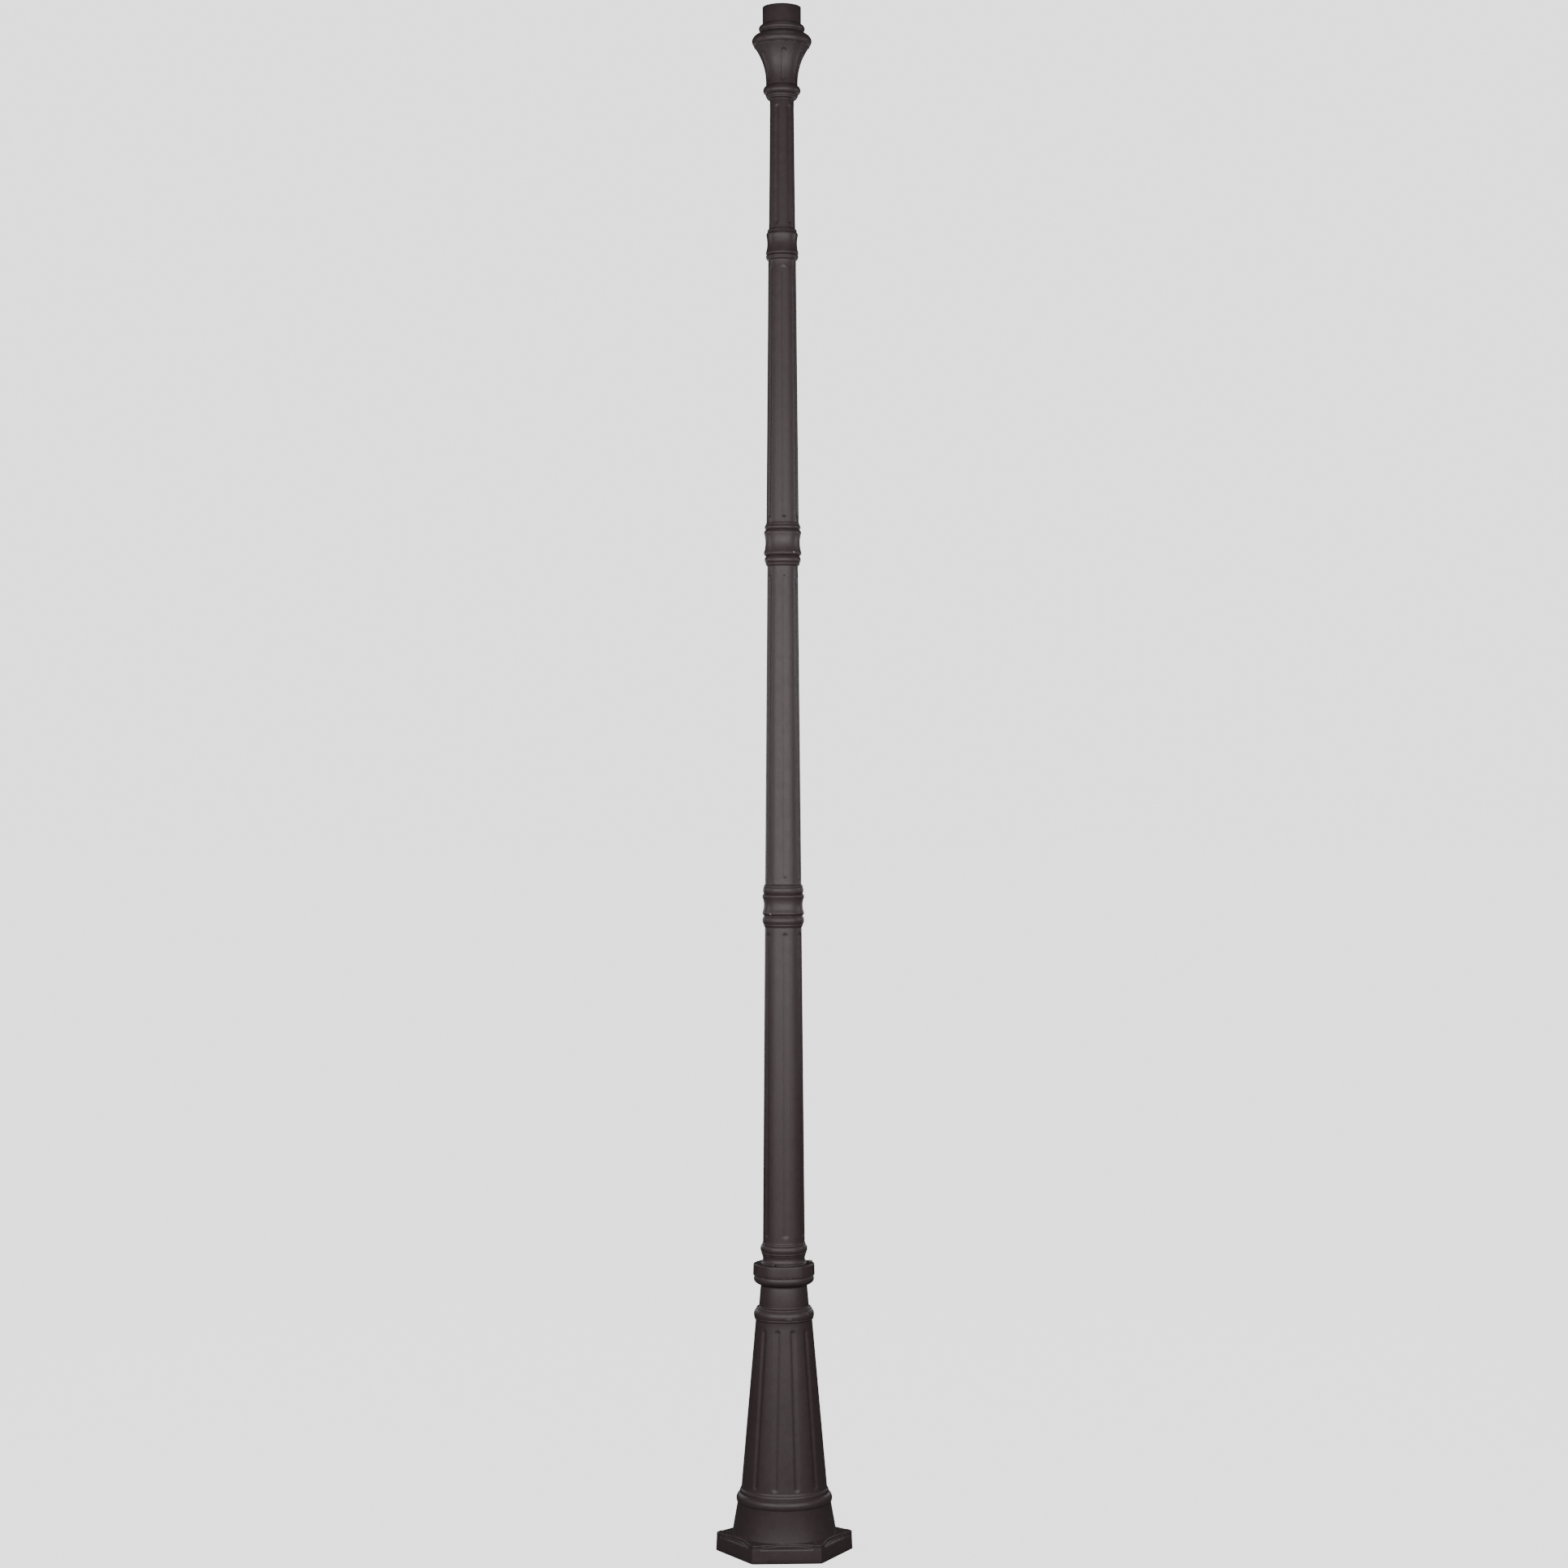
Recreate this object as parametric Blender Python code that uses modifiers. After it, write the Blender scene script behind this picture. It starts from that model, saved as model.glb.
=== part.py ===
"""A cast street clock post, 3.05 m tall, of hollow castings on one vertical axis.

A hexagonal foot and a fluted cone form the pedestal. A clamp collar holds the shaft's flange on top
of it, and the shaft is four fluted sections screwed together on threaded nipples, with waisted
couplings between them. A fluted bell carries the 3 in tenon that the clock head slips over.

Sizes are in millimetres, heights are measured from the ground, and MM turns both into metres when a
mesh is made. Angles are in degrees from the front, which faces -Y, towards +X. An outline is a list
of (radius, height) points that runs down the outer side of a turned piece and up its inner side.
"""

import math

import bmesh
import bpy
from mathutils import Matrix, Vector

MM = 0.001
GAP = 0.3  # between pieces that touch
RUNNING_GAP = 0.7  # between pieces that turn in each other

# The heights at which the pieces meet.
PEDESTAL_TOP = 540.0
COLLAR_BOTTOM = 541.2
COLLAR_TOP = 566.5
FLANGE_TOP = 583.0
SECTION_SEAMS = ((583.3, 1253.2), (1296.1, 1963.2), (2015.1, 2557.2), (2602.3, 2874.2))
CAPITAL_BOTTOM = 2874.5
FITTER_BOTTOM = 2996.3
POST_TOP = 3048.0

# The foot.
FOOT_CORNER_RADIUS = 136.0
FOOT_DRAFT = 1.5
FOOT_HEIGHT = 36.0
FOOT_BORE = 98.0
SCOOP_FLOOR = 27.0
SCOOP_RADIUS = 117.0
SCOOP_CENTRE = 220.0
ANCHOR_CIRCLE_RADIUS = 114.3
ANCHOR_HOLE_RADIUS = 6.35
ANCHOR_ANGLES = (-90, 30, 150)

# The clamp collar and its screws.
COLLAR_CORNER_RADIUS = 60.8
COLLAR_SIDE_BULGE = 4.0
COLLAR_MOUTH = 46.2
COLLAR_LEDGE_RADIUS = 44.9
COLLAR_LEDGE_HEIGHT = 549.3
FLANGE_RADIUS = 47.3
SCREW_CIRCLE_RADIUS = 51.8
SCREW_ANGLES = (90, -30, -150)
SCREW_RADIUS = 3.0
SCREW_HEAD_RADIUS = 4.8
SCREW_HEAD_HEIGHT = 4.0
SCREW_DEPTH = 8.0  # into the pedestal's rim
SOCKET_RADIUS = 2.3
SOCKET_DEPTH = 2.4

# The shaft sits where it is clamped, a little round from the foot.
CLAMP_TURN = 3.0

# Each nipple's radius also sets the bores that it screws into.
FOOT_NIPPLE = 35.6
COUPLING_NIPPLES = (31.4, 25.6, 21.0)
TOP_NIPPLE = 18.5
NIPPLE_WALL = 3.8
NIPPLE_GRIP = 24.0  # how far a nipple reaches into a shaft section
END_RELIEF = 2.0  # the straight bore runs on past the nipple's end

FLUTE_DEPTH = 1.7

TENON_RADIUS = 38.1
TENON_WALL = 3.2
TENON_SHOULDER = 3013.5

PEDESTAL_STEPS = 48
SHAFT_STEPS = 36
NIPPLE_STEPS = 24

CAST_COLOUR = (0.050, 0.038, 0.037, 1.0)
STEEL_COLOUR = (0.30, 0.30, 0.29, 1.0)


# Outlines


def arc(start, end, rise, steps=4):
    """Points on a circular arc whose middle stands rise out from the chord, to the right of its run."""
    a, b = Vector(start), Vector(end)
    run = b - a
    outward = Vector((-run.y, run.x)).normalized()
    radius = (run.length**2 / 4 + rise**2) / (2 * abs(rise))
    side = math.copysign(1, rise)
    centre = (a + b) / 2 + outward * (rise - side * radius)
    half = 2 * math.atan2(2 * abs(rise), run.length)
    points = []
    for i in range(steps + 1):
        turn = half * (2 * i / steps - 1)
        spoke = outward * math.cos(turn) * side + run.normalized() * math.sin(turn)
        points.append(tuple(centre + spoke * radius))
    return points


def bell(steps):
    """The capital's bell, from its lip down to the bead: it opens slowly, then fast."""
    low_radius, low, lip_radius, lip, power = 31.5, 2897.0, 57.3, 2974.5, 2.15
    points = []
    for i in range(steps + 1):
        t = 1 - i / steps
        points.append((low_radius + (lip_radius - low_radius) * t**power, low + (lip - low) * t))
    return points


def on_taper(low, high, z):
    """The (radius, height) point of a straight taper at height z."""
    t = (z - low[1]) / (high[1] - low[1])
    return (low[0] + (high[0] - low[0]) * t, z)


def section_outline(foot_ring, taper, head_ring, low_bore, high_bore):
    """A shaft section: its outer side, then a bore that is straight at both ends and tapers between."""
    outer = [*head_ring, taper[1], taper[0], *foot_ring]
    low, high = outer[-1][1], outer[0][1]
    return outer + [
        (low_bore + GAP, low),
        (low_bore + GAP, low + NIPPLE_GRIP + END_RELIEF),
        (high_bore + GAP, high - NIPPLE_GRIP - END_RELIEF),
        (high_bore + GAP, high),
    ]


# Shape builders


def collection(name):
    found = bpy.data.collections.new(name)
    bpy.context.scene.collection.children.link(found)
    return found


def add_object(name, mesh, group):
    piece = bpy.data.objects.new(name, mesh)
    group.objects.link(piece)
    return piece


def add_bmesh(name, work, group):
    mesh = bpy.data.meshes.new(name)
    work.to_mesh(mesh)
    work.free()
    return add_object(name, mesh, group)


def turned(name, outline, steps, group):
    """A solid of revolution. Its outline closes on itself, or on the axis where it starts there."""
    work = bmesh.new()
    points = [work.verts.new((r * MM, 0, z * MM)) for r, z in outline]
    for a, b in zip(points, points[1:]):
        work.edges.new((a, b))
    if outline[0][0] > 0:
        work.edges.new((points[-1], points[0]))
    piece = add_bmesh(name, work, group)
    screw = piece.modifiers.new("turn", "SCREW")
    screw.steps = steps
    screw.render_steps = steps
    screw.use_merge_vertices = True
    screw.merge_threshold = 0.00001
    return piece


def prism(name, radius, low, high, sides, group, top_radius=None):
    """An upright prism, a cylinder where it has many sides, with a corner at +X."""
    work = bmesh.new()
    bmesh.ops.create_cone(
        work,
        cap_ends=True,
        segments=sides,
        radius1=radius * MM,
        radius2=(top_radius or radius) * MM,
        depth=(high - low) * MM,
    )
    bmesh.ops.rotate(work, verts=work.verts, matrix=Matrix.Rotation(math.pi / 2, 3, "Z"))
    bmesh.ops.translate(work, verts=work.verts, vec=(0, 0, (high + low) / 2 * MM))
    return add_bmesh(name, work, group)


def place(piece, circle_radius, angle):
    """Moves a piece out from the axis to its place on a circle."""
    turn = math.radians(angle)
    piece.location.x = circle_radius * MM * math.sin(turn)
    piece.location.y = -circle_radius * MM * math.cos(turn)
    piece.rotation_euler.z = turn


def as_mesh(curve_object):
    """Turns a curve object into a welded mesh object of the same name."""
    graph = bpy.context.evaluated_depsgraph_get()
    mesh = bpy.data.meshes.new_from_object(curve_object.evaluated_get(graph))
    work = bmesh.new()
    work.from_mesh(mesh)
    bmesh.ops.remove_doubles(work, verts=work.verts, dist=0.00001)
    work.to_mesh(mesh)
    work.free()
    solid = add_object(curve_object.name, mesh, curve_object.users_collection[0])
    solid.matrix_world = curve_object.matrix_world
    name = curve_object.name
    bpy.data.objects.remove(curve_object)
    solid.name = name
    return solid


def flute_path(surface, width, depth):
    """(radius, height, tube radius) along a round-ended tube that cuts a groove into a surface.

    surface holds the groove's own (radius, height) points from low to high. width holds the
    groove's width at its low and at its high end.
    """
    path = []
    for i, (r, z) in enumerate(surface):
        t = i / (len(surface) - 1)
        half = (width[0] * (1 - t) + width[1] * t) / 2
        tube = (half**2 + depth**2) / (2 * depth)
        path.append((Vector((r + tube - depth, z)), tube))
    (low, low_tube), (high, high_tube) = path[0], path[-1]
    down = (low - path[1][0]).normalized()
    up = (high - path[-2][0]).normalized()
    dome = [math.radians(a) for a in (84, 56, 28)]
    tail = [(low + down * low_tube * math.sin(a), low_tube * math.cos(a)) for a in dome]
    tip = [(high + up * high_tube * math.sin(a), high_tube * math.cos(a)) for a in reversed(dome)]
    return tail + path + tip


def flute_cutter(name, path, count, first_angle, group):
    """A ring of equal tubes that stand round the axis, as one mesh."""
    curve = bpy.data.curves.new(name, "CURVE")
    curve.dimensions = "3D"
    curve.bevel_depth = MM
    curve.bevel_resolution = 3
    curve.use_fill_caps = True
    spline = curve.splines.new("POLY")
    spline.points.add(len(path) - 1)
    for point, (place_on_plane, tube) in zip(spline.points, path):
        point.co = (0, -place_on_plane.x * MM, place_on_plane.y * MM, 1)
        point.radius = tube
    cutter = as_mesh(add_object(name, curve, group))
    work = bmesh.new()
    work.from_mesh(cutter.data)
    bmesh.ops.recalc_face_normals(work, faces=work.faces)
    bmesh.ops.spin(
        work,
        geom=work.verts[:] + work.edges[:] + work.faces[:],
        axis=(0, 0, 1),
        cent=(0, 0, 0),
        angle=math.tau * (count - 1) / count,
        steps=count - 1,
        use_duplicate=True,
    )
    work.to_mesh(cutter.data)
    work.free()
    cutter.rotation_euler.z = math.radians(first_angle)
    return cutter


def boolean(piece, other, operation):
    step = piece.modifiers.new(f"{operation.lower()} {other.name}", "BOOLEAN")
    step.operation = operation
    step.solver = "EXACT"
    step.object = other


def cut(piece, *cutters):
    for cutter in cutters:
        boolean(piece, cutter, "DIFFERENCE")


def material(name, colour, roughness, metallic):
    found = bpy.data.materials.new(name)
    found.use_nodes = True
    shader = found.node_tree.nodes["Principled BSDF"]
    shader.inputs["Base Color"].default_value = colour
    shader.inputs["Roughness"].default_value = roughness
    shader.inputs["Metallic"].default_value = metallic
    found.diffuse_color = colour
    return found


# The pieces


def make_pedestal(parts, cutters):
    """The foot, plinth, fluted cone, neck and rim: one hollow casting."""
    outer = [
        (0, PEDESTAL_TOP),
        (58.0, PEDESTAL_TOP),
        (59.2, 538.6),
        *arc((59.2, 536.0), (46.4, 522.0), 3.4),
        (49.5, 483.5),
        *arc((53.6, 480.2), (56.1, 452.6), 4.6, 5),
        (85.1, 122.8),
        (88.6, 116.0),
        *arc((91.6, 112.2), (93.1, 92.2), 2.4),
        (104.0, FOOT_HEIGHT),
        (104.0, 5.0),
        (0, 5.0),
    ]
    hollow = [
        (0, 550.0),
        (41.0, 550.0),
        (41.0, 521.0),
        (44.4, 483.0),
        (51.0, 453.0),
        (80.0, 121.0),
        (88.0, 92.0),
        (FOOT_BORE, 40.0),
        (FOOT_BORE, -10.0),
        (0, -10.0),
    ]
    foot = prism(
        "foot_block",
        FOOT_CORNER_RADIUS,
        0,
        FOOT_HEIGHT,
        6,
        cutters,
        FOOT_CORNER_RADIUS - FOOT_DRAFT,
    )
    for i in range(6):
        scoop = prism(f"scoop_{i}", SCOOP_RADIUS, SCOOP_FLOOR, 60, 60, cutters)
        place(scoop, SCOOP_CENTRE, 60 * i)
        cut(foot, scoop)
    for i, angle in enumerate(ANCHOR_ANGLES):
        hole = prism(f"anchor_hole_{i}", ANCHOR_HOLE_RADIUS, -10, 60, 18, cutters)
        place(hole, ANCHOR_CIRCLE_RADIUS, angle)
        cut(foot, hole)
    pedestal = turned("pedestal", outer, PEDESTAL_STEPS, parts)
    boolean(pedestal, foot, "UNION")
    cut(pedestal, turned("pedestal_hollow", hollow, PEDESTAL_STEPS, cutters))
    for i, angle in enumerate(SCREW_ANGLES):
        bottom = PEDESTAL_TOP - SCREW_DEPTH - 2 * GAP
        hole = prism(f"rim_hole_{i}", SCREW_RADIUS + GAP, bottom, 560, 12, cutters)
        place(hole, SCREW_CIRCLE_RADIUS, angle + CLAMP_TURN)
        cut(pedestal, hole)
    cone = ((85.1, 122.8), (56.1, 452.6))
    surface = [on_taper(*cone, 133.0), on_taper(*cone, 439.0)]
    path = flute_path(surface, (11.6, 8.6), FLUTE_DEPTH)
    cut(pedestal, flute_cutter("pedestal_flutes", path, 12, 15, cutters))
    return pedestal


def make_collar(parts, cutters):
    """A hexagon with bulging sides that holds the shaft's flange down."""
    corners = []
    for i in range(6):
        turn = math.radians(90 - 60 * i)
        corners.append(Vector((math.cos(turn + math.pi / 2), math.sin(turn + math.pi / 2))))
    outline = []
    for a, b in zip(corners, corners[1:] + corners[:1]):
        side = arc(a * COLLAR_CORNER_RADIUS, b * COLLAR_CORNER_RADIUS, COLLAR_SIDE_BULGE, 6)
        outline += side[:-1]
    curve = bpy.data.curves.new("clamp_collar", "CURVE")
    curve.dimensions = "2D"
    curve.fill_mode = "BOTH"
    curve.extrude = (COLLAR_TOP - COLLAR_BOTTOM) / 2 * MM
    spline = curve.splines.new("POLY")
    spline.points.add(len(outline) - 1)
    for point, (x, y) in zip(spline.points, outline):
        point.co = (x * MM, y * MM, 0, 1)
    spline.use_cyclic_u = True
    collar = as_mesh(add_object("clamp_collar", curve, parts))
    collar.location.z = (COLLAR_TOP + COLLAR_BOTTOM) / 2 * MM
    collar.rotation_euler.z = math.radians(CLAMP_TURN)
    bore = [
        (0, 580.0),
        (COLLAR_MOUTH, 580.0),
        (COLLAR_MOUTH, 561.5),
        (COLLAR_LEDGE_RADIUS, 558.0),
        (COLLAR_LEDGE_RADIUS, COLLAR_LEDGE_HEIGHT),
        (FLANGE_RADIUS + RUNNING_GAP, COLLAR_LEDGE_HEIGHT),
        (FLANGE_RADIUS + RUNNING_GAP, 520.0),
        (0, 520.0),
    ]
    cut(collar, turned("collar_bore", bore, PEDESTAL_STEPS, cutters))
    for i, angle in enumerate(SCREW_ANGLES):
        hole = prism(f"collar_hole_{i}", SCREW_RADIUS + GAP, 530, 580, 12, cutters)
        place(hole, SCREW_CIRCLE_RADIUS, angle + CLAMP_TURN)
        cut(collar, hole)
    return collar


def make_screws(parts, cutters):
    """Three socket cap screws, which share one mesh."""
    head_bottom = COLLAR_TOP + GAP
    head_top = head_bottom + SCREW_HEAD_HEIGHT
    outline = [
        (0, head_top),
        (SCREW_HEAD_RADIUS - 0.6, head_top),
        (SCREW_HEAD_RADIUS, head_top - 0.6),
        (SCREW_HEAD_RADIUS, head_bottom),
        (SCREW_RADIUS, head_bottom),
        (SCREW_RADIUS, PEDESTAL_TOP - SCREW_DEPTH),
        (0, PEDESTAL_TOP - SCREW_DEPTH),
    ]
    pattern = turned("screw_pattern", outline, 16, cutters)
    socket = prism("screw_socket", SOCKET_RADIUS, head_top - SOCKET_DEPTH, 590, 6, cutters)
    cut(pattern, socket)
    graph = bpy.context.evaluated_depsgraph_get()
    mesh = bpy.data.meshes.new_from_object(pattern.evaluated_get(graph))
    screws = []
    for i, angle in enumerate(SCREW_ANGLES, 1):
        screw = add_object(f"collar_screw_{i}", mesh, parts)
        place(screw, SCREW_CIRCLE_RADIUS, angle + CLAMP_TURN)
        screws.append(screw)
    return screws


def make_flange(parts):
    """The round plate under the collar, with the skirt that flares out of it."""
    outline = [
        (43.6, FLANGE_TOP),
        (41.9, 576.5),
        (42.0, 573.5),
        (45.4, 565.5),
        (44.2, 561.0),
        (44.2, COLLAR_LEDGE_HEIGHT - GAP),
        (FLANGE_RADIUS, COLLAR_LEDGE_HEIGHT - GAP),
        (FLANGE_RADIUS, PEDESTAL_TOP + GAP),
        (33.0, PEDESTAL_TOP + GAP),
        (33.0, 554.0),
        (FOOT_NIPPLE + GAP, 554.0),
        (FOOT_NIPPLE + GAP, FLANGE_TOP),
    ]
    return turned("shaft_flange", outline, SHAFT_STEPS, parts)


def make_sections(parts, cutters):
    """The four fluted sections, each with the ring that it carries at either end."""
    (low_1, high_1), (low_2, high_2), (low_3, high_3), (low_4, high_4) = SECTION_SEAMS
    foot_rings = (
        [*arc((42.0, 607.2), (43.9, 585.4), 3.2), (43.6, low_1)],
        arc((37.8, 1313.0), (38.9, low_2), 1.8),
        arc((33.6, 2025.6), (34.1, low_3), 1.7),
        [(28.4, 2607.2), (29.3, 2604.2), (29.2, low_4)],
    )
    tapers = (
        ((41.6, 610.0), (36.6, 1229.6)),
        ((36.1, 1316.8), (30.5, 1942.0)),
        ((32.2, 2029.6), (27.5, 2546.8)),
        ((26.2, 2610.4), (23.8, 2863.6)),
    )
    head_rings = (
        [*arc((38.8, high_1), (39.2, 1236.5), 2.5), (38.4, 1233.2)],
        [*arc((33.6, high_2), (34.0, 1950.0), 1.9), (33.3, 1946.2)],
        arc((31.6, high_3), (31.2, 2551.0), 0.8, 2),
        arc((32.0, high_4), (24.4, 2865.0), 2.4),
    )
    flutes = (
        (627.0, 1214.0, (11.8, 11.2), 0),
        (1334.0, 1920.0, (11.2, 10.4), 0),
        (2044.0, 2529.0, (10.6, 9.8), 0),
        (2622.0, 2848.0, (9.8, 9.4), 30),
    )
    bores = (FOOT_NIPPLE, *COUPLING_NIPPLES, TOP_NIPPLE)
    sections = []
    for i, (taper, (flute_low, flute_high, width, angle)) in enumerate(zip(tapers, flutes)):
        outline = section_outline(foot_rings[i], taper, head_rings[i], bores[i], bores[i + 1])
        section = turned(f"shaft_section_{i + 1}", outline, SHAFT_STEPS, parts)
        surface = [on_taper(*taper, flute_low), on_taper(*taper, flute_high)]
        path = flute_path(surface, width, FLUTE_DEPTH)
        cut(section, flute_cutter(f"shaft_flutes_{i + 1}", path, 6, angle, cutters))
        sections.append(section)
    return sections


def make_couplings(parts):
    """The three waisted sleeves between the sections."""
    shapes = (
        ((39.0, 1295.8), (41.7, 1291.2), (41.4, 1258.6), (39.3, 1253.5), -2.9),
        ((34.2, 2014.8), (36.8, 2008.6), (37.4, 1969.0), (34.2, 1963.5), -3.0),
        ((29.4, 2602.0), (31.2, 2596.6), (32.3, 2561.8), (31.8, 2557.5), -2.2),
    )
    couplings = []
    for i, (top, upper, lower, bottom, waist) in enumerate(shapes):
        bore = COUPLING_NIPPLES[i] + GAP
        outline = [top, *arc(upper, lower, waist, 6), bottom, (bore, bottom[1]), (bore, top[1])]
        couplings.append(turned(f"coupling_{i + 1}", outline, SHAFT_STEPS, parts))
    return couplings


def make_nipples(parts):
    """Threaded steel tubes inside the flange, the couplings and the capital's base."""
    joins = [("foot_nipple", FOOT_NIPPLE, 554.3, SECTION_SEAMS[0][0] + NIPPLE_GRIP)]
    for i, radius in enumerate(COUPLING_NIPPLES):
        low = SECTION_SEAMS[i][1] - NIPPLE_GRIP
        joins.append((f"coupling_nipple_{i + 1}", radius, low, SECTION_SEAMS[i + 1][0] + NIPPLE_GRIP))
    joins.append(("top_nipple", TOP_NIPPLE, SECTION_SEAMS[3][1] - NIPPLE_GRIP, CAPITAL_BOTTOM + 17.5))
    nipples = []
    for name, radius, low, high in joins:
        inner = radius - NIPPLE_WALL
        outline = [(radius, high), (radius, low), (inner, low), (inner, high)]
        nipples.append(turned(name, outline, NIPPLE_STEPS, parts))
    return nipples


def make_capital(parts, cutters):
    """The bead, the fluted bell and its bulging rim: one hollow casting."""
    outline = [
        *arc((43.2, FITTER_BOTTOM - GAP), (58.9, 2979.2), 4.4, 5),
        *bell(7),
        *arc((31.9, 2891.6), (33.2, 2875.4), 4.1),
        (32.6, CAPITAL_BOTTOM),
        (TOP_NIPPLE + GAP, CAPITAL_BOTTOM),
        (TOP_NIPPLE + GAP, 2893.0),
        (27.0, 2899.0),
        (29.5, 2926.0),
        (48.0, 2972.0),
        (48.0, 2987.0),
        (36.0, 2987.0),
        (36.0, FITTER_BOTTOM - GAP),
    ]
    capital = turned("capital", outline, SHAFT_STEPS, parts)
    surface = [point for point in reversed(bell(9)) if 2902 < point[1] < 2951]
    path = flute_path(surface, (11.0, 12.6), 1.9)
    cut(capital, flute_cutter("capital_flutes", path, 6, 0, cutters))
    return capital


def make_fitter(parts):
    """The neck and ring that stand on the capital, with the open tenon above them."""
    bore = TENON_RADIUS - TENON_WALL
    outline = [
        (TENON_RADIUS, POST_TOP),
        (TENON_RADIUS, TENON_SHOULDER),
        *arc((40.0, TENON_SHOULDER - 1.0), (42.6, 2999.2), 4.4),
        (42.5, FITTER_BOTTOM),
        (35.7, FITTER_BOTTOM),
        (35.7, 2988.0),
        (31.5, 2988.0),
        (31.5, 3008.0),
        (bore, 3012.0),
        (bore, POST_TOP),
    ]
    return turned("fitter_tenon", outline, SHAFT_STEPS, parts)


def bake_modifiers(piece):
    """Applies a piece's modifiers and shades it smooth up to its edges."""
    graph = bpy.context.evaluated_depsgraph_get()
    mesh = bpy.data.meshes.new_from_object(piece.evaluated_get(graph))
    mesh.name = piece.name
    piece.modifiers.clear()
    piece.data = mesh
    mesh.shade_smooth()
    mesh.set_sharp_from_angle(angle=math.radians(35))


def main():
    for item in list(bpy.data.objects):
        bpy.data.objects.remove(item)
    parts = collection("street_clock_post")
    cutters = collection("cutters")
    cutters.hide_render = True

    fixed = [make_pedestal(parts, cutters), make_collar(parts, cutters)]
    screws = make_screws(parts, cutters)
    castings = [make_flange(parts), *make_sections(parts, cutters), *make_couplings(parts)]
    castings += [make_capital(parts, cutters), make_fitter(parts)]
    nipples = make_nipples(parts)

    shaft_turn = add_object("shaft_turn", None, parts)
    shaft_turn.location.z = PEDESTAL_TOP * MM
    shaft_turn.rotation_euler.z = math.radians(CLAMP_TURN)
    for piece in castings + nipples:
        piece.parent = shaft_turn
        piece.location.z = -PEDESTAL_TOP * MM

    for cutter in cutters.objects:
        cutter.hide_render = True
        cutter.display_type = "WIRE"
    bpy.context.view_layer.update()
    for piece in fixed + castings + nipples:
        bake_modifiers(piece)
    for piece in fixed + screws + castings:
        piece.data.materials.clear()
        piece.data.materials.append(material(f"{piece.name}_finish", CAST_COLOUR, 0.45, 0.0))
    for piece in nipples:
        piece.data.materials.append(material(f"{piece.name}_steel", STEEL_COLOUR, 0.40, 1.0))


main()
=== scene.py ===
"""The looks of the street clock post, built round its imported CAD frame.

Every casting is rebuilt as a fine turned mesh with its beads, grooves and round-ended flutes, and
stands for its CAD node. Outlines are lists of (radius, height) points in millimetres that run down
a piece's outer side and up its bore, with heights counted from the CAD node's own ends. Angles are
in degrees from the front, which faces -Y, towards +X.
"""

import math

import bmesh
import bpy
import numpy as np
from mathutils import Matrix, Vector


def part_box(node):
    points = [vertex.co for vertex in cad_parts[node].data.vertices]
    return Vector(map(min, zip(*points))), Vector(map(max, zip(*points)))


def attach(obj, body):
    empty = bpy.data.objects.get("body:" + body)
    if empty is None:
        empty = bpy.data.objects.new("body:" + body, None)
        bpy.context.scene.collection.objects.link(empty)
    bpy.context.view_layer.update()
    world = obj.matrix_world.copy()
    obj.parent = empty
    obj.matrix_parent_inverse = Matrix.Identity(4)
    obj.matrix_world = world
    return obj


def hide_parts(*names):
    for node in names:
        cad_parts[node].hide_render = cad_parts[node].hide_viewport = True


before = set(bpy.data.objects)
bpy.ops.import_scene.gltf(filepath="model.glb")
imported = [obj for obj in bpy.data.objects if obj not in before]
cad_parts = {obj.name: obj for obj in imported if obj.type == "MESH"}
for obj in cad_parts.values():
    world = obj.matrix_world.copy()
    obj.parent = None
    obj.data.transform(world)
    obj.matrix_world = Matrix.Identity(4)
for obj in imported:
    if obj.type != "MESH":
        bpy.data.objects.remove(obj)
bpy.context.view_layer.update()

MM = 0.001

CLAMP_TURN = 3.0  # the shaft and the collar stand this far round from the foot

CAMERA_AZIMUTH = -2.3
CAMERA_DISTANCE = 6.034
CAMERA_HEIGHT = 1.513
CAMERA_LENS = 70.07
CAMERA_ROLL = 0.10
CAMERA_SHIFT = 0.0006

SURROUND = 2.2  # how bright the background looks
AMBIENT = 0.045  # how much of it lights the post
FLOOR_REACH = 60.0
LIGHT_COLOUR = (0.97, 0.97, 1.0)

COAT_DEEP = (0.0415, 0.0272, 0.0272)
COAT_PALE = (0.0460, 0.0308, 0.0310)
COAT_DUST = (0.0510, 0.0350, 0.0350, 1)
COAT_GRAIN = (0.0660, 0.0500, 0.0510, 1)
# convex-edge colour: partly rubbed paint, partly a painted highlight
COAT_RUBBED_AND_HIGHLIGHT = (0.150, 0.130, 0.130, 1)
# crease colour: painted shade
COAT_CREASE_SHADE = (0.0250, 0.0185, 0.0180, 1)
COAT_SPECK = (0.42, 0.41, 0.44, 1)
BARE = (0.34, 0.33, 0.36)
WORN = (0.070, 0.060, 0.055)

# Knocks on the lower seams of couplings 1 and 2, and a worn spot on the pedestal's upper ring, each
# as (angle, radius, height).
KNOCKS = ((-42, 41.2, 1257.8), (33, 37.4, 1969.8))
WORN_SPOT = (8.0, 59.3, 464.5)


# Outlines


def arc(start, end, rise, steps=8):
    """Points on an arc whose middle stands rise out from its chord, to the left of its run."""
    a, b = Vector(start), Vector(end)
    run = b - a
    outward = Vector((-run.y, run.x)).normalized()
    radius = (run.length**2 / 4 + rise**2) / (2 * abs(rise))
    side = math.copysign(1, rise)
    centre = (a + b) / 2 + outward * (rise - side * radius)
    half = 2 * math.atan2(2 * abs(rise), run.length)
    points = []
    for i in range(steps + 1):
        turn = half * (2 * i / steps - 1)
        spoke = outward * math.cos(turn) * side + run.normalized() * math.sin(turn)
        points.append(tuple(centre + spoke * radius))
    return points


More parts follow.
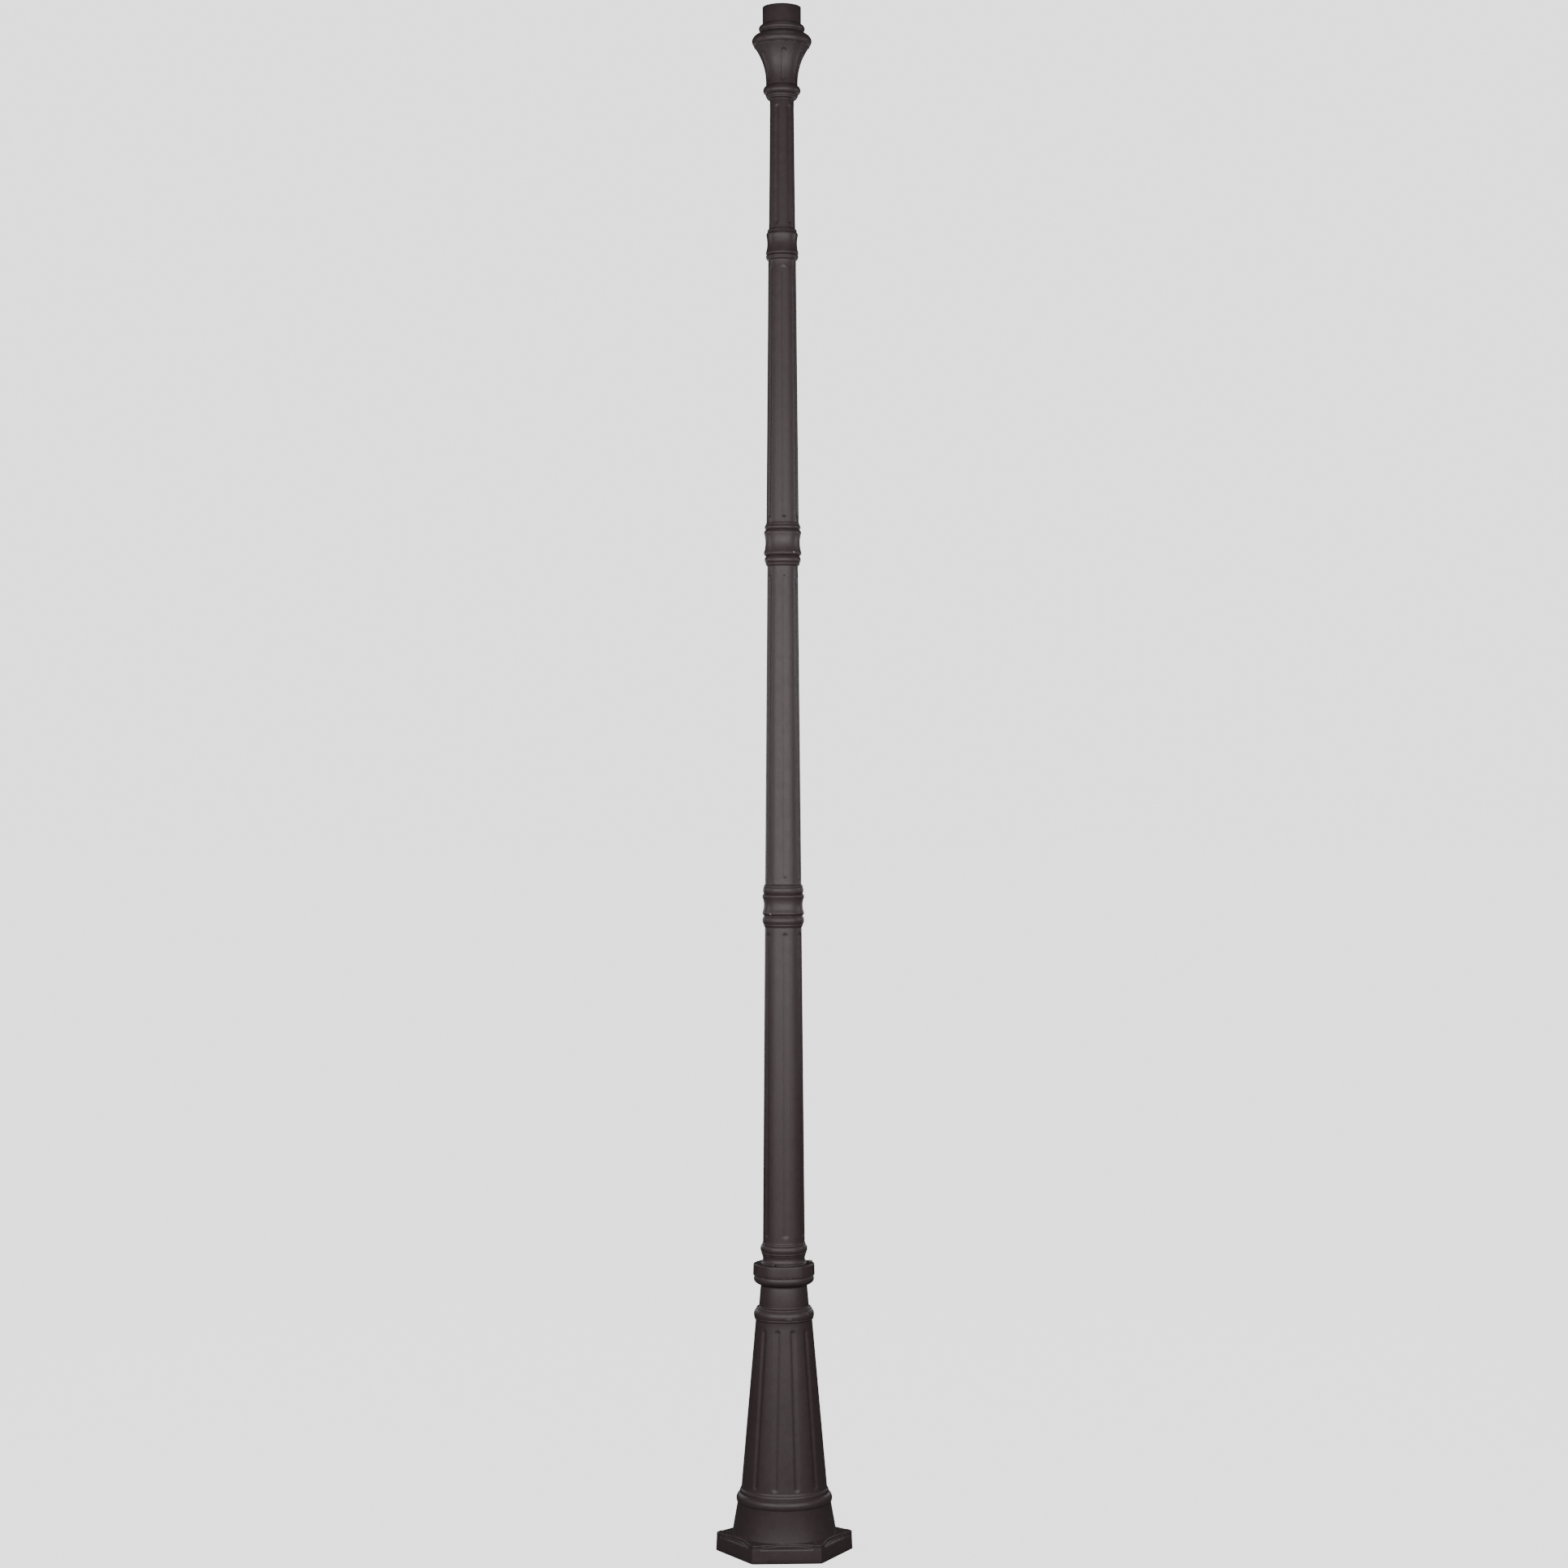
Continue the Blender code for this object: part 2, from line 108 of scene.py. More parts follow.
def ends(node):
    """A CAD node's lowest and highest height, in millimetres."""
    low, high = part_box(node)
    return low.z / MM, high.z / MM


def ramp(low, high, steps):
    return [low + (high - low) * i / steps for i in range(steps + 1)]


class Flutes:
    """Equal soft grooves that run up a piece and end in round tips, low and high.

    first is the angle of the first one's middle, and half_width is measured on the surface.
    """

    def __init__(self, count, first, half_width, low, high, depth, wall=1.0):
        self.count = count
        self.first = first
        self.half_width = half_width
        self.low = low
        self.high = high
        self.depth = depth
        self.wall = wall  # the part of the half width that slopes: the rest is a flat floor

    def heights(self):
        """The heights that the mesh needs rows at, from high to low: close together at the tips."""
        tip = ramp(0, 2 * self.half_width, 18)
        low_tip = [self.low + x for x in tip]
        high_tip = [self.high - x for x in tip]
        middle = ramp(low_tip[-1], high_tip[-1], 6)[1:-1]
        return sorted(low_tip + middle + high_tip, reverse=True)

    def angles(self, radius, inside=20, between=5):
        """The angles that the mesh needs columns at, where radius is the piece's smallest."""
        pitch = 360 / self.count
        reach = math.degrees(self.half_width / radius)
        found = []
        for k in range(self.count):
            centre = self.first + pitch * k
            found += [centre + reach * x for x in ramp(-1, 1, inside)]
            gap = pitch / 2 - reach
            found += [centre + pitch / 2 + gap * x for x in ramp(-1, 1, between)[1:-1]]
        return found

    def cut_at(self, angle, radius, height):
        """How deep the groove is at a place on the surface."""
        pitch = 360 / self.count
        across = radius * math.radians((angle - self.first + pitch / 2) % pitch - pitch / 2)
        below = self.low + self.half_width - height
        above = height - self.high + self.half_width
        far = math.hypot(across, max(0.0, below, above)) / self.half_width
        up_wall = min(1.0, max(0.0, (far - 1) / self.wall + 1))
        return self.depth * (1 + math.cos(math.pi * up_wall)) / 2


# Meshes


def tidy_angles(angles):
    """Angles from 0 to 360 in order, with near copies left out."""
    kept = []
    for angle in sorted(a % 360 for a in angles):
        if not kept or angle - kept[-1] > 0.05:
            kept.append(angle)
    if kept[0] + 360 - kept[-1] < 0.05:
        kept.pop()
    return kept


def mesh_object(name, points, faces):
    mesh = bpy.data.meshes.new(name)
    mesh.from_pydata([tuple(p) for p in points], [], faces)
    piece = bpy.data.objects.new(name, mesh)
    bpy.context.scene.collection.objects.link(piece)
    return piece


def swept(name, rows, angles, turn=0.0):
    """A closed mesh round the axis, from rows that hold a (radius, height) for each angle."""
    count, columns = len(rows), len(angles)
    points = np.empty((count, columns, 3))
    for j, angle in enumerate(angles):
        a = math.radians(angle + turn)
        for i in range(count):
            r, z = rows[i][j]
            points[i, j] = (r * math.sin(a) * MM, -r * math.cos(a) * MM, z * MM)
    faces = []
    for i in range(count):
        below = (i + 1) % count
        for j in range(columns):
            beside = (j + 1) % columns
            faces.append((
                i * columns + j,
                below * columns + j,
                below * columns + beside,
                i * columns + beside,
            ))
    return mesh_object(name, points.reshape(-1, 3), faces)


def turned(name, outer, bore, flutes=None, turn=0.0, columns=120):
    """A hollow turned piece, with any flutes sunk into its outer side."""
    outline = outer + bore
    narrowest = min(r for r, _ in outer)
    angles = tidy_angles(flutes.angles(narrowest) if flutes else ramp(0, 360, columns)[:-1])
    rows = []
    for i, (r, z) in enumerate(outline):
        if not flutes or i >= len(outer) or not flutes.low < z < flutes.high:
            rows.append([(r, z)] * len(angles))
            continue
        (r_up, z_up), (r_down, z_down) = outline[i - 1], outline[i + 1]
        inward = Vector((z_down - z_up, r_up - r_down)).normalized()  # square to the surface
        row = []
        for angle in angles:
            depth = flutes.cut_at(angle, r, z)
            row.append((r + inward.x * depth, z + inward.y * depth))
        rows.append(row)
    return swept(name, rows, angles, turn)


def with_heights(outer, heights):
    """Adds points to an outer side where it crosses the given heights."""
    found = [outer[0]]
    for (r0, z0), (r1, z1) in zip(outer, outer[1:]):
        for z in heights:
            if z1 + 0.05 < z < z0 - 0.05:
                t = (z0 - z) / (z0 - z1)
                found.append((r0 + (r1 - r0) * t, z))
        found.append((r1, z1))
    return found


def drilled(piece, places, radius, low, high, chamfer=0.0):
    """Cuts upright holes through a piece, with their upper edges broken where chamfer is given."""
    for angle, circle in places:
        work = bmesh.new()
        outline = [(0, high + 5), (radius + chamfer + 5, high + 5), (radius, high - chamfer)]
        if not chamfer:
            outline = [(0, high + 5), (radius, high + 5)]
        outline += [(radius, low - 5), (0, low - 5)]
        ring = [work.verts.new((r * MM, 0, z * MM)) for r, z in outline]
        for a, b in zip(ring, ring[1:]):
            work.edges.new((a, b))
        bmesh.ops.spin(
            work,
            geom=work.verts[:] + work.edges[:],
            axis=(0, 0, 1),
            cent=(0, 0, 0),
            angle=math.tau,
            steps=32,
        )
        bmesh.ops.remove_doubles(work, verts=work.verts, dist=1e-6)
        bmesh.ops.recalc_face_normals(work, faces=work.faces)
        mesh = bpy.data.meshes.new("drill")
        work.to_mesh(mesh)
        work.free()
        drill = bpy.data.objects.new("drill", mesh)
        bpy.context.scene.collection.objects.link(drill)
        a = math.radians(angle)
        drill.location = (circle * MM * math.sin(a), -circle * MM * math.cos(a), 0)
        step = piece.modifiers.new("drill", "BOOLEAN")
        step.operation = "DIFFERENCE"
        step.object = drill
        graph = bpy.context.evaluated_depsgraph_get()
        piece.data = bpy.data.meshes.new_from_object(piece.evaluated_get(graph))
        piece.modifiers.clear()
        bpy.data.objects.remove(drill)


def finish_mesh(piece, crease=38):
    """Cleans a mesh, stores how sharply each point bends outwards, and shades it smooth."""
    work = bmesh.new()
    work.from_mesh(piece.data)
    bmesh.ops.remove_doubles(work, verts=work.verts, dist=2e-6)
    bmesh.ops.dissolve_degenerate(work, edges=work.edges, dist=2e-6)
    bmesh.ops.recalc_face_normals(work, faces=work.faces)
    bends = []
    for point in work.verts:
        bend = sum(e.calc_face_angle_signed(0.0) * e.calc_length() for e in point.link_edges)
        area = sum(f.calc_area() for f in point.link_faces) / 4
        bends.append(bend / (area + 1e-9) / 4)
    work.to_mesh(piece.data)
    work.free()
    store = piece.data.attributes.new("bend", "FLOAT", "POINT")
    store.data.foreach_set("value", np.clip(np.array(bends) / 1000, -1, 1).astype(np.float32))
    piece.data.shade_smooth()
    piece.data.set_sharp_from_angle(angle=math.radians(crease))


# Materials


class Nodes:
    """Adds nodes to one material, with short calls."""

    def __init__(self, name):
        self.material = bpy.data.materials.new(name)
        self.material.use_nodes = True
        self.tree = self.material.node_tree
        self.shader = self.tree.nodes["Principled BSDF"]

    def add(self, kind, settings=None, **inputs):
        node = self.tree.nodes.new(kind)
        for key, value in (settings or {}).items():
            setattr(node, key, value)
        for key, value in inputs.items():
            socket = node.inputs[int(key[1:]) if key[0] == "i" and key[1:].isdigit() else key]
            self.feed(socket, value)
        return node

    def feed(self, socket, value):
        if isinstance(value, bpy.types.NodeSocket):
            self.tree.links.new(value, socket)
        else:
            socket.default_value = value

    def math(self, operation, a, b=0.0, clamp=False):
        settings = {"operation": operation, "use_clamp": clamp}
        return self.add("ShaderNodeMath", settings, i0=a, i1=b).outputs[0]

    def noise(self, where, scale, detail=3.0, roughness=0.55):
        node = self.add("ShaderNodeTexNoise", None, Vector=where, Scale=scale)
        node.inputs["Detail"].default_value = detail
        node.inputs["Roughness"].default_value = roughness
        return node.outputs["Fac"]

    def band(self, value, low, high, to_low=0.0, to_high=1.0):
        node = self.add("ShaderNodeMapRange", {"clamp": True}, Value=value)
        for key, number in (
            ("From Min", low),
            ("From Max", high),
            ("To Min", to_low),
            ("To Max", to_high),
        ):
            node.inputs[key].default_value = number
        return node.outputs[0]

    def blend(self, share, a, b):
        node = self.add("ShaderNodeMix", {"data_type": "RGBA"})
        self.feed(node.inputs["Factor"], share)
        self.feed(node.inputs[6], a)
        self.feed(node.inputs[7], b)
        return node.outputs[2]


def powder_coat(name, shade=1.0, chips=()):
    """Dark bronze powder coat on a sand casting: fine grain, mottling, convex edges lightened as
    rubbed paint plus a painted highlight, creases darkened as painted shade.
    """
    n = Nodes(name)
    where = n.add("ShaderNodeTexCoord").outputs["Object"]
    broad = n.noise(where, 9.0, 2.0)
    mottle = n.noise(where, 70.0, 4.0, 0.6)
    grain = n.noise(where, 620.0, 3.0, 0.6)
    fine = n.noise(where, 1500.0, 2.0, 0.5)

    deep, pale = ((shade * r, shade * g, shade * b, 1) for r, g, b in (COAT_DEEP, COAT_PALE))
    colour = n.blend(n.band(broad, 0.35, 0.65), deep, pale)
    colour = n.blend(n.band(mottle, 0.35, 0.70, 0.0, 0.50), colour, COAT_DUST)
    colour = n.blend(n.band(grain, 0.45, 0.75, 0.0, 0.40), colour, COAT_GRAIN)

    bend = n.add("ShaderNodeAttribute", {"attribute_name": "bend"}).outputs["Fac"]
    # Convex edges lightened: partly rubbed paint, partly a painted highlight.
    rub_and_highlight = n.math("MULTIPLY", n.band(bend, 0.10, 0.55), n.band(mottle, 0.42, 0.62))
    colour = n.blend(n.math("MULTIPLY", rub_and_highlight, 0.55), colour, COAT_RUBBED_AND_HIGHLIGHT)
    # Concave creases and seams darkened: painted shade.
    crease_shade = n.band(bend, -0.45, -0.08, 1.0, 0.0)
    colour = n.blend(n.math("MULTIPLY", crease_shade, 0.55), colour, COAT_CREASE_SHADE)

    cells = n.add("ShaderNodeTexVoronoi", None, Vector=where, Scale=55.0)
    rare = n.add("ShaderNodeSeparateColor", None, Color=cells.outputs["Color"]).outputs[0]
    speck = n.math(
        "MULTIPLY",
        n.band(cells.outputs["Distance"], 0.035, 0.055, 1.0, 0.0),
        n.math("GREATER_THAN", rare, 0.93),
    )
    colour = n.blend(n.math("MULTIPLY", speck, 0.55), colour, COAT_SPECK)

    rough = n.band(mottle, 0.3, 0.7, 0.38, 0.48)
    rough = n.math("SUBTRACT", rough, n.math("MULTIPLY", rub_and_highlight, 0.10))
    for chip in chips:
        rough, colour = add_chip(n, where, rough, colour, *chip)
    n.feed(n.shader.inputs["Base Color"], colour)
    n.feed(n.shader.inputs["Roughness"], rough)
    n.shader.inputs["Specular IOR Level"].default_value = 0.45

    height = n.math("ADD", n.math("MULTIPLY", grain, 0.6), n.math("MULTIPLY", fine, 0.4))
    waves = n.noise(where, 45.0, 2.0)
    ripple = n.add("ShaderNodeBump", None, Height=waves, Strength=0.25, Distance=0.0010)
    peel = n.add("ShaderNodeBump", None, Height=height, Strength=0.42, Distance=0.00035)
    n.feed(peel.inputs["Normal"], ripple.outputs[0])
    n.feed(n.shader.inputs["Normal"], peel.outputs[0])
    return n.material


def add_chip(n, where, rough, colour, place, size, tint, flatness=1.0):
    """A ragged spot of another colour at (angle, radius, height): bare metal, or coat worn dull."""
    angle, radius, height = place
    a = math.radians(angle)
    centre = (radius * MM * math.sin(a), -radius * MM * math.cos(a), height * MM)
    away = n.add("ShaderNodeVectorMath", {"operation": "SUBTRACT"}, i0=where, i1=centre)
    scale = (1, 1, flatness)
    away = n.add("ShaderNodeVectorMath", {"operation": "MULTIPLY"}, i0=away.outputs[0], i1=scale)
    far = n.add("ShaderNodeVectorMath", {"operation": "LENGTH"}, i0=away.outputs[0])
    ragged = n.noise(where, 0.45 / (size * MM), 3.0)
    reach = n.math("ADD", far.outputs["Value"], n.math("MULTIPLY", ragged, size * MM * 0.9))
    mask = n.band(reach, size * MM * 1.25, size * MM * 1.55, 1.0, 0.0)
    rough = n.math("ADD", rough, n.math("MULTIPLY", mask, 0.25))
    return rough, n.blend(mask, colour, (*tint, 1))


def steel(name, colour, roughness):
    """Zinc-plated or blackened steel with a faint turned grain."""
    n = Nodes(name)
    where = n.add("ShaderNodeTexCoord").outputs["Object"]
    stretched = n.add("ShaderNodeMapping", None, Vector=where)
    stretched.inputs["Scale"].default_value = (1, 1, 30)
    grain = n.noise(stretched.outputs[0], 60.0, 4.0)
    darker = tuple(c * 0.7 for c in colour[:3]) + (1,)
    n.feed(n.shader.inputs["Base Color"], n.blend(n.band(grain, 0.3, 0.7), darker, colour))
    rough = n.band(grain, 0.3, 0.7, roughness - 0.06, roughness + 0.08)
    n.feed(n.shader.inputs["Roughness"], rough)
    n.shader.inputs["Metallic"].default_value = 1.0
    bump = n.add("ShaderNodeBump", None, Height=grain, Strength=0.2, Distance=0.0002)
    n.feed(n.shader.inputs["Normal"], bump.outputs[0])
    return n.material


# The pedestal


FOOT_FLATS = 117.78  # from the axis to a side of the hexagon, at the ground
FOOT_HEIGHT = 36.0
FOOT_DRAFT = 1.3
FOOT_BORE = 98.0
SCOOP_RADIUS = 125.0
SCOOP_CENTRE = 229.6
SCOOP_FLOOR = 29.6
LEDGE_EDGE = 3.2
LEDGE_DROP = 5.4
PLINTH_RADIUS = 103.0
RIM_RISE = 3.2  # the rim's raised edge, round the shaft's plate
ANCHOR_PLACES = [(angle, 114.3) for angle in (-90, 30, 150)]


def to_side(angle):
    """The angle from the middle of the nearest side of a hexagon that has a side to the front."""
    return (angle + 30) % 60 - 30


def hexagon(angle, flats, corner):
    """The distance from the axis to a hexagon's side, with its corners rounded off."""
    a = math.radians(to_side(angle))
    here = flats / math.cos(a)
    beyond = flats / math.cos(math.pi / 3 - abs(a))
    gap = (beyond - here) / corner
    return here - corner * math.log1p(math.exp(-gap)) if gap < 30 else here


def foot_section(angle):
    """The foot's outer side at one angle, from the plinth's base down to the ground."""
    side = hexagon(angle, FOOT_FLATS, 1.3)
    top_side = side - FOOT_DRAFT
    a = math.radians(to_side(angle))
    under = SCOOP_RADIUS**2 - (SCOOP_CENTRE * math.sin(a)) ** 2
    scoop = SCOOP_CENTRE * math.cos(a) - math.sqrt(under) if under > 0 else top_side
    lip = min(scoop, top_side)
    opening = min(1.0, (top_side - lip) / 0.9)
    ledge = max(top_side - lip, LEDGE_EDGE * 1.3 * opening)
    lip = top_side - ledge
    brow = 0.9 + 0.9 * opening
    cove = min(3.0, ledge * 0.3)
    edge = LEDGE_EDGE * opening + 0.05
    drop = LEDGE_DROP * opening + 0.05
    floor = SCOOP_FLOOR + 0.6 * (1 - opening)
    return [
        (lip - brow - 0.3, FOOT_HEIGHT),
        *arc((lip - brow, FOOT_HEIGHT), (lip, FOOT_HEIGHT - brow), 0.29 * brow, 6),
        (lip, FOOT_HEIGHT - brow - 0.5),
        *arc((lip, floor + cove + 0.1), (lip + cove, floor + 0.1), -0.29 * cove - 1e-6, 6),
        *arc((top_side - edge, floor), (top_side, floor - drop), 0.105 * (edge + drop), 7),
        (top_side + FOOT_DRAFT * 0.3, floor * 0.7),
        (top_side + FOOT_DRAFT * 0.7, floor * 0.3),
        (side, 1.2),
        (side - 0.4, 0.3),
        (side - 1.2, 0.0),
    ]


def make_pedestal(finish):
    low, high = ends("pedestal")
    rim = [
        (48.4, high),
        (48.6, high + RIM_RISE),
        (57.0, high + RIM_RISE),
        *arc((57.7, high + RIM_RISE - 0.2), (58.9, high - 7.6), 1.3, 12),
        *arc((58.7, high - 7.9), (47.4, high - 15.2), 1.2, 10),
        *arc((47.0, high - 15.7), (46.2, high - 19.4), -0.5, 4),
    ]
    ring = [
        *arc((49.2, 484.9), (49.9, 482.4), -0.3, 4),
        *arc((50.2, 481.9), (54.7, 478.4), 1.1, 6),
        (54.6, 477.7),
        *arc((55.2, 476.9), (58.8, 460.8), 2.4, 14),
        (58.0, 460.0),
        *arc((58.3, 459.5), (57.3, 456.4), 0.45, 5),
        (56.1, 455.6),
        (56.0, 454.2),
    ]
    bead = [
        (84.9, 124.2),
        *arc((85.3, 123.7), (88.0, 117.0), 0.9, 7),
        (88.0, 116.2),
        *arc((88.2, 115.4), (93.5, 97.4), 3.5, 16),
        (92.6, 96.7),
        (92.4, 95.6),
    ]
    flutes = Flutes(12, 15, 8.0, 128.5, 444.0, 2.0)
    cone = with_heights([ring[-1], bead[0]], flutes.heights())[1:-1]
    plinth = [(PLINTH_RADIUS - 0.6, FOOT_HEIGHT + 3.0), (PLINTH_RADIUS, FOOT_HEIGHT + 0.1)]
    outer = rim + ring + cone + bead + plinth
    bore = [
        (FOOT_BORE + 1.0, low),
        (FOOT_BORE, low + 1.0),
        (FOOT_BORE, 40.0),
        (88.0, 92.0),
        (80.0, 121.0),
        (51.0, 453.0),
        (44.4, 483.0),
        (41.0, 521.0),
        (41.0, high - 1.0),
        (42.0, high),
    ]
    scoop_end = math.degrees(math.atan2(57.3, FOOT_FLATS))
    extra = []
    for k in range(6):
        for s in (-1, 1):
            extra += [60 * k + s * e for e in (scoop_end, scoop_end - 1, 20)]
    angles = tidy_angles(flutes.angles(ring[-1][0], 22, 6) + extra)
    rows = []
    for r, z in outer:
        rows.append([(r - flutes.cut_at(angle, r, z), z) for angle in angles])
    feet = [foot_section(angle) for angle in angles]
    rows += [[foot[i] for foot in feet] for i in range(len(feet[0]))]
    rows += [[point] * len(angles) for point in bore]
    piece = swept("pedestal_casting", rows, angles)
    drilled(piece, ANCHOR_PLACES, 6.35, low, FOOT_HEIGHT, 0.8)
    drilled(piece, SCREW_PLACES, 3.3, high - 3.6, high + RIM_RISE)
    finish_mesh(piece)
    piece.data.materials.append(finish)
    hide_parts("pedestal")
    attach(piece, "pedestal")


# The clamp collar and its screws


COLLAR_CORNER = 60.8
COLLAR_BULGE = 4.6
COLLAR_MOUTH = 46.2
SCREW_PLACES = [(angle + CLAMP_TURN, 51.8) for angle in (90, -30, -150)]


def collar_side(angle):
    """The distance from the axis to the collar's side: a hexagon whose sides bulge."""
    flats = COLLAR_CORNER * math.cos(math.pi / 6)
    radius = (COLLAR_CORNER**2 / 4 + COLLAR_BULGE**2) / (2 * COLLAR_BULGE)
    back = flats + COLLAR_BULGE - radius

    def side(a):
        return back * math.cos(a) + math.sqrt(radius**2 - (back * math.sin(a)) ** 2)

    a = math.radians(to_side(angle))
    here, beyond = side(a), side(math.pi / 3 - abs(a))
    return here - 3.2 * math.log1p(math.exp(-abs(beyond - here) / 3.2))


def make_collar(finish):
    low, high = ends("clamp_collar")
    seat = low + RIM_RISE - 0.9
    angles = tidy_angles(
        [60 * k + 30 + x * abs(x) * 30 for k in range(6) for x in ramp(-1, 1, 28)]
    )
    rows = []
    for depth, height in (
        (3.6, high),
        (2.0, high - 0.05),
        (1.1, high - 0.3),
        (0.45, high - 0.9),
        (0.1, high - 1.8),
        (-0.05, high - 3.0),
        (-0.3, (low + high) / 2),
        (-0.5, seat + 3.6),
        (-0.1, seat + 3.2),
        (-0.5, seat + 2.8),
        (-0.5, seat + 0.7),
        (-0.4, seat + 0.25),
        (0.0, seat),
    ):
        rows.append([(collar_side(angle) - depth + 2.0, height) for angle in angles])
    for point in (
        (49.0, seat),
        (48.0, seat + 0.6),
        (48.0, 549.3),
        (44.9, 549.3),
        (44.9, 558.0),
        (46.0, 561.5),
        (COLLAR_MOUTH, high - 1.2),
        (COLLAR_MOUTH + 0.4, high - 0.4),
        (COLLAR_MOUTH + 1.2, high),
    ):
        rows.append([point] * len(angles))
    piece = swept("collar_casting", rows, angles, CLAMP_TURN)
    drilled(piece, SCREW_PLACES, 3.3, low, high)
    finish_mesh(piece)
    piece.data.materials.append(finish)
    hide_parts("clamp_collar")
    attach(piece, "pedestal")


def make_screws(finish):
    """Socket cap screws with knurled heads and cut threads."""
    for i, (angle, circle) in enumerate(SCREW_PLACES, 1):
        node = f"collar_screw_{i}"
        low, high = ends(node)
        head = high - 4.0
        outer = [
            (3.7, high),
            (4.2, high - 0.1),
            (4.6, high - 0.5),
            (4.75, high - 1.0),
            (4.75, head + 0.4),
            (4.5, head),
            (3.0, head),
        ]
        turns = int((head - 8 - low) / 1.0)
        for t in range(turns):
            top = head - 7 - t
            outer += [(2.95, top), (2.95, top - 0.15), (2.5, top - 0.5), (2.95, top - 0.85)]
        outer += [(2.4, low), (0.02, low)]
        socket = [(0.02, high - 2.6), (2.25, high - 2.4), (2.25, high - 0.5), (2.7, high)]
        angles = ramp(0, 360, 72)[:-1]
        rows = []
        for k, (r, z) in enumerate(outer + socket):
            row = []
            for a in angles:
                knurl = 0.12 * math.cos(math.radians(a * 24)) if 2 < k < 5 else 0.0
                flat = hexagon(a, 2.0, 0.05) if r == 2.25 else r
                row.append((flat + knurl, z))
            rows.append(row)
        piece = swept(f"cap_screw_{i}", rows, angles)
        a = math.radians(angle)
        shift = Vector((circle * math.sin(a), -circle * math.cos(a), 0)) * MM
        for point in piece.data.vertices:
            point.co += shift
        finish_mesh(piece)
        piece.data.materials.append(finish)
        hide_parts(node)
        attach(piece, "pedestal")


# The shaft


def shaft_piece(node, outer, bore, finish, flutes=None):
    """One turned casting of the shaft, standing for its CAD node."""
    if flutes:
        outer = with_heights(outer, flutes.heights())
    piece = turned(f"{node}_casting", outer, bore, flutes, CLAMP_TURN)
    finish_mesh(piece)
    piece.data.materials.append(finish)
    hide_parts(node)
    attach(piece, "shaft")


def make_flange(finish):
    low, high = ends("shaft_flange")
    outer = [
        (43.1, high + 1.5),
        (43.4, high + 1.2),
        *arc((43.4, high + 0.4), (42.5, 571.8), -1.3, 10),
        *arc((42.7, 571.3), (44.4, 568.9), -0.3, 4),
        (44.2, 568.4),
        *arc((44.7, 567.9), (45.4, 565.2), 0.35, 5),
        (44.3, 561.0),
        (44.2, 549.0),
        (46.9, 549.0),
        (47.3, 548.6),
        (47.3, low + 0.4),
        (46.9, low),
    ]
    bore = [
        (33.5, low),
        (33.0, low + 0.5),
        (33.0, 554.0),
        (35.9, 554.0),
        (35.9, high - 0.8),
        (36.7, high),
    ]
    shaft_piece("shaft_flange", outer, bore, finish)


def section_bore(low, high, low_bore, high_bore):
    """The inside of a section: broken edges, straight grips for the nipples, a taper between."""
    return [
        (low_bore + 0.8, low),
        (low_bore, low + 0.8),
        (low_bore, low + 26),
        (high_bore, high - 26),
        (high_bore, high - 0.8),
        (high_bore + 0.8, high),
    ]


BORES = (35.9, 31.7, 25.9, 21.3, 18.8)  # at each nipple, from the flange up


